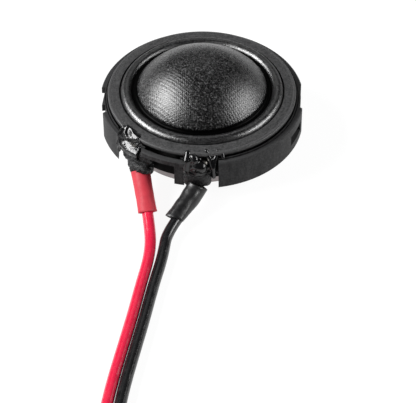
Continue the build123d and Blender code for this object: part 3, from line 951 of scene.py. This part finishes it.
def red_outside(t):
    """The red sleeve narrows a little along its length, most of all in the middle."""
    return 1.98 - 0.06 * t - 0.1 * math.sin(math.pi * t)


def black_outside(t):
    """The black sleeve is wide at its mouth, and swells over the joint inside."""
    return 1.9 + 0.25 * (1 - t) ** 4 + 0.14 * math.exp(-(((t - 0.36) / 0.13) ** 2))


make_sleeve(
    "red",
    ((-12.48, -16.86, 4.6), SLEEVE_KNEE["red"], SLEEVE_END["red"]),
    sleeve_profile(10.2, 1.4, red_outside),
    RED_SLEEVE,
    ripple=0.04,
    slant=0.0,
    cut=(-0.15, 0.0, 0.7),
)
make_sleeve(
    "black",
    ((-0.7, -20.8, 4.8), (-1.65, -22.4, 3.0), (-5.75, -28.4, 2.15)),
    sleeve_profile(9.0, 1.5, black_outside),
    BLACK_SLEEVE,
    ripple=0.09,
    slant=0.8,
    cut=(0.35, -0.3, 0.55),
)

# ---------------------------------------------------------------- lead-outs
TINSEL_R = 0.2
TINSEL_SIDES = 14
TINSEL_PATH = ((13.02, 9.95), (14.0, 9.85), (14.5, 9.26), (18.64, 9.26))


def make_lead_out(colour, turn):
    """The tinsel wire from the voice coil to the terminal."""
    path = []
    for (r0, z0), (r1, z1) in zip(TINSEL_PATH, TINSEL_PATH[1:]):
        path += [ring_point(turn, r0 + (r1 - r0) * k / 8, z0 + (z1 - z0) * k / 8) for k in range(8)]
    path.append(ring_point(turn, *TINSEL_PATH[-1]))
    verts = []
    for point, side, up in frames_along(path):
        for k in range(TINSEL_SIDES):
            angle = 2 * math.pi * k / TINSEL_SIDES
            across = side * (TINSEL_R * math.cos(angle)) + up * (TINSEL_R * math.sin(angle))
            verts.append(point + across)
    faces = skin_faces(len(path), TINSEL_SIDES, flip=True)
    faces.append(tuple(reversed(range(TINSEL_SIDES))))
    faces.append(tuple(range(len(verts) - TINSEL_SIDES, len(verts))))
    obj = mesh_object(f"{colour}_tinsel_wire", verts, faces)
    finish_piece(obj, None, "tinsel_wire", TINSEL, f"{colour}_lead_out")
    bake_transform(obj)


make_lead_out("red", 227.1)
make_lead_out("black", 270.7)


# ---------------------------------------------------------------- stage
FLOOR_HALF = 2500.0
FLOOR_Z = -0.02
FLOOR_GLOW = (1.1, 0.55)  # strength near the middle and far from it
FLOOR_GLOW_M = (0.13, 0.6)  # the distances at which the glow has those strengths
GLOW_SHARE = 0.85
WORLD_GREY = (0.8, 0.8, 0.8, 1)
WORLD_STRENGTH = 0.035
LIGHT_TARGET = (0.0, 0.0, 12.0)
# Name, turn from the front (90 is the right), lift in degrees, distance, width and height in
# metres, and power in watts. The left one is the stronger, and the back one is a faint fill.
SOFTBOXES = (
    ("left_softbox", -90, 38, 0.5, 0.42, 0.18, 4.5),
    ("right_softbox", 88, 29, 0.5, 0.36, 0.16, 1.75),
    ("back_fill", 180, 42, 0.8, 0.5, 0.25, 0.28),
)


def make_floor():
    """A plain pale floor that glows a little, as a lit white table does in a studio."""
    sides = ((-1, -1), (1, -1), (1, 1), (-1, 1))
    corners = [(x * FLOOR_HALF, y * FLOOR_HALF, FLOOR_Z) for x, y in sides]
    floor = mesh_object("floor", corners, [(0, 1, 2, 3)])
    s = Shader("floor", (0.8, 0.8, 0.8), 0.9, Specular_IOR_Level=0.0)
    s.set(Base_Color=s.mix(s.noise(60.0), (0.79, 0.79, 0.79), (0.81, 0.81, 0.81)))
    glow = s.node("ShaderNodeEmission")
    away = s.node("ShaderNodeVectorMath", operation="LENGTH")
    s.link(s.coords, away.inputs[0])
    s.link(s.span(away.outputs["Value"], *FLOOR_GLOW, *FLOOR_GLOW_M), glow.inputs["Strength"])
    both = s.node("ShaderNodeMixShader")
    both.inputs[0].default_value = GLOW_SHARE
    s.link(s.bsdf.outputs[0], both.inputs[1])
    s.link(glow.outputs[0], both.inputs[2])
    s.link(both.outputs[0], s.tree.nodes["Material Output"].inputs["Surface"])
    floor.data.materials.append(s.material)


def make_lights():
    """Two side softboxes and a faint back fill, all aimed at the tweeter, in a dim grey room."""
    world = bpy.data.worlds.new("studio")
    world.use_nodes = True
    background = world.node_tree.nodes["Background"]
    background.inputs["Color"].default_value = WORLD_GREY
    background.inputs["Strength"].default_value = WORLD_STRENGTH
    bpy.context.scene.world = world
    for name, turn, lift, distance, width, height, power in SOFTBOXES:
        az, el = math.radians(turn), math.radians(lift)
        flat = math.cos(el)
        toward = Vector((math.sin(az) * flat, -math.cos(az) * flat, math.sin(el)))
        data = bpy.data.lights.new(name, "AREA")
        data.shape = "RECTANGLE"
        data.size = width
        data.size_y = height
        data.energy = power
        lamp = put_in_scene(name, data)
        lamp.location = Vector(LIGHT_TARGET) * MM + toward * distance
        lamp.rotation_euler = toward.to_track_quat("Z", "Y").to_euler()


make_floor()
make_lights()
bpy.context.scene.view_settings.view_transform = "Standard"
